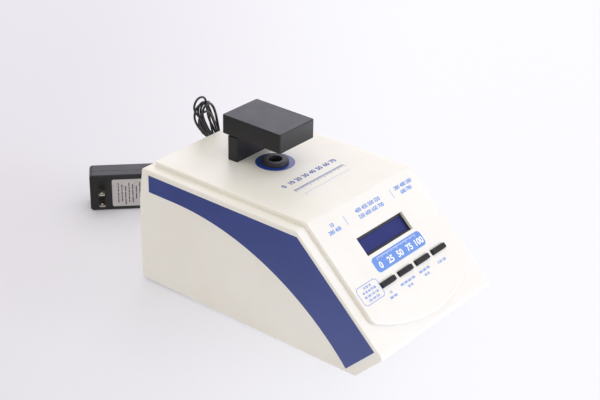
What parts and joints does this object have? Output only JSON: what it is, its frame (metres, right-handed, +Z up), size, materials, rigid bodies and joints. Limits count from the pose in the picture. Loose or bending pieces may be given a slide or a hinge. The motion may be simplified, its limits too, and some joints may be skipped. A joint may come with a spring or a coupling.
{
  "type": "spectrophotometer",
  "caption": "Bench lens transmission meter: sloped console case with display and push buttons, lamp aperture under a sensor head, and a plug-in adapter on a hanked lead.",
  "frame": {"origin": "on the table surface, under the middle of the case (length from nose to power inlet, width of the case)", "axes": "+X to the right of a person facing the slope, +Y to the rear, +Z up"},
  "size_m": [0.1682, 0.4409, 0.168],
  "materials": {
    "abs_ivory": "satin moulded, ivory",
    "vinyl_navy": "satin printed film, navy",
    "vinyl_blue": "satin printed film, blue",
    "aluminium_plate": "brushed, clear",
    "abs_block": "sawn and bonded",
    "steel_zinc": "zinc plated",
    "rubber_black": "matt",
    "abs_black": "fine textured, black",
    "clear_acrylic": "polished",
    "opal_acrylic": "opal",
    "circuit_board": "green solder mask",
    "led_clear": "clear epoxy",
    "can_metal": "nickel plated",
    "frame_steel": "black, pressed",
    "display_blue": "polished",
    "brass_plain": "turned",
    "chip_black": "moulded epoxy",
    "capacitor_sleeve": "shrunk sleeve",
    "connector_white": "moulded nylon",
    "ribbon_grey": "flat cable jacket",
    "lead_black": "smooth PVC",
    "adapter_black": "fine textured, black",
    "label_silver": "bare foil label",
    "nickel_plate": "nickel plated brass"
  },
  "bodies": {
    "chassis": {"case_shell": "abs_ivory", "side_label": "vinyl_navy", "ring_label": "vinyl_blue", "base_plate": "aluminium_plate", "mounting_blocks": "abs_block", "base_screws": "steel_zinc", "rubber_feet": "rubber_black", "aperture_grommet": "rubber_black", "lamp_housing": "abs_black", "lamp_window": "clear_acrylic", "lamp_board": "circuit_board", "uv_led": "led_clear", "white_led": "led_clear", "head_post": "abs_black", "post_screws": "steel_zinc", "head_shell": "abs_black", "head_lid": "abs_black", "head_lid_screws": "steel_zinc", "sensor_window": "opal_acrylic", "sensor_board": "circuit_board", "sensor_board_screws": "steel_zinc", "uv_photodiode": "can_metal", "visible_photodiode": "can_metal", "display_frame": "frame_steel", "display_glass": "display_blue", "display_backlight": "opal_acrylic", "display_board": "circuit_board", "panel_studs": "abs_block", "panel_screws": "steel_zinc", "switch_bodies": "chip_black", "switch_board": "circuit_board", "main_board": "circuit_board", "main_standoffs": "brass_plain", "main_board_screws": "steel_zinc", "controller_chip": "chip_black", "voltage_regulator": "chip_black", "capacitors": "capacitor_sleeve", "board_connectors": "connector_white", "display_ribbon": "ribbon_grey", "switch_ribbon": "ribbon_grey", "sensor_cable": "lead_black", "lamp_leads": "lead_black", "jack_leads": "lead_black", "dc_jack": "abs_black", "dc_jack_nut": "nickel_plate", "plug_barrel": "nickel_plate", "plug_grip": "abs_black", "cord_lead_in": "lead_black", "cord_hank": "lead_black", "cord_tie": "abs_black", "cord_lead_out": "lead_black", "adapter_front": "adapter_black", "adapter_back": "adapter_black", "adapter_blades": "nickel_plate", "adapter_label": "label_silver", "adapter_relief": "lead_black"},
    "key_1": {"button_1": "abs_black"},
    "key_2": {"button_2": "abs_black"},
    "key_3": {"button_3": "abs_black"},
    "key_4": {"button_4": "abs_black"}
  },
  "joints": [
    {"name": "key_1_press", "type": "slide", "parent": "chassis", "child": "key_1", "axis": [0, 0.6776, -0.7354], "range_m": [0, 0.001], "stiffness_N_per_m": 1000, "springref_m": -0.0005},
    {"name": "key_2_press", "type": "slide", "parent": "chassis", "child": "key_2", "axis": [0, 0.6776, -0.7354], "range_m": [0, 0.001], "stiffness_N_per_m": 1000, "springref_m": -0.0005},
    {"name": "key_3_press", "type": "slide", "parent": "chassis", "child": "key_3", "axis": [0, 0.6776, -0.7354], "range_m": [0, 0.001], "stiffness_N_per_m": 1000, "springref_m": -0.0005},
    {"name": "key_4_press", "type": "slide", "parent": "chassis", "child": "key_4", "axis": [0, 0.6776, -0.7354], "range_m": [0, 0.001], "stiffness_N_per_m": 1000, "springref_m": -0.0005}
  ]
}
